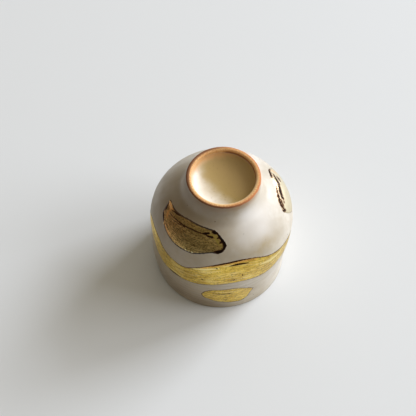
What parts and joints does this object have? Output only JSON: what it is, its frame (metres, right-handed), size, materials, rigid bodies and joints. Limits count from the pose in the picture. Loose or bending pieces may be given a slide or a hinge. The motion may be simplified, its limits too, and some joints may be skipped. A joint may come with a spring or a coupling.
{
  "type": "gongfu teacup",
  "caption": "Small round tea bowl turned upside down on its lip, with a domed shoulder, a turned foot ring, a satin off-white glaze and brushed gold strokes.",
  "frame": {"origin": "middle of the lip's plane, which is the underside of the cup as it rests upside down", "axes": "+Z along the cup's axis, up through the foot ring; -Y is the side with the two large gold strokes that faces the camera in the picture; +X is to the camera's right"},
  "size_m": [0.06, 0.06, 0.0585],
  "materials": {
    "glaze": "satin off-white glaze over sandy clay, bare on the foot ring, with gold lustre strokes"
  },
  "bodies": {
    "root": {"teacup": "glaze"}
  },
  "joints": []
}
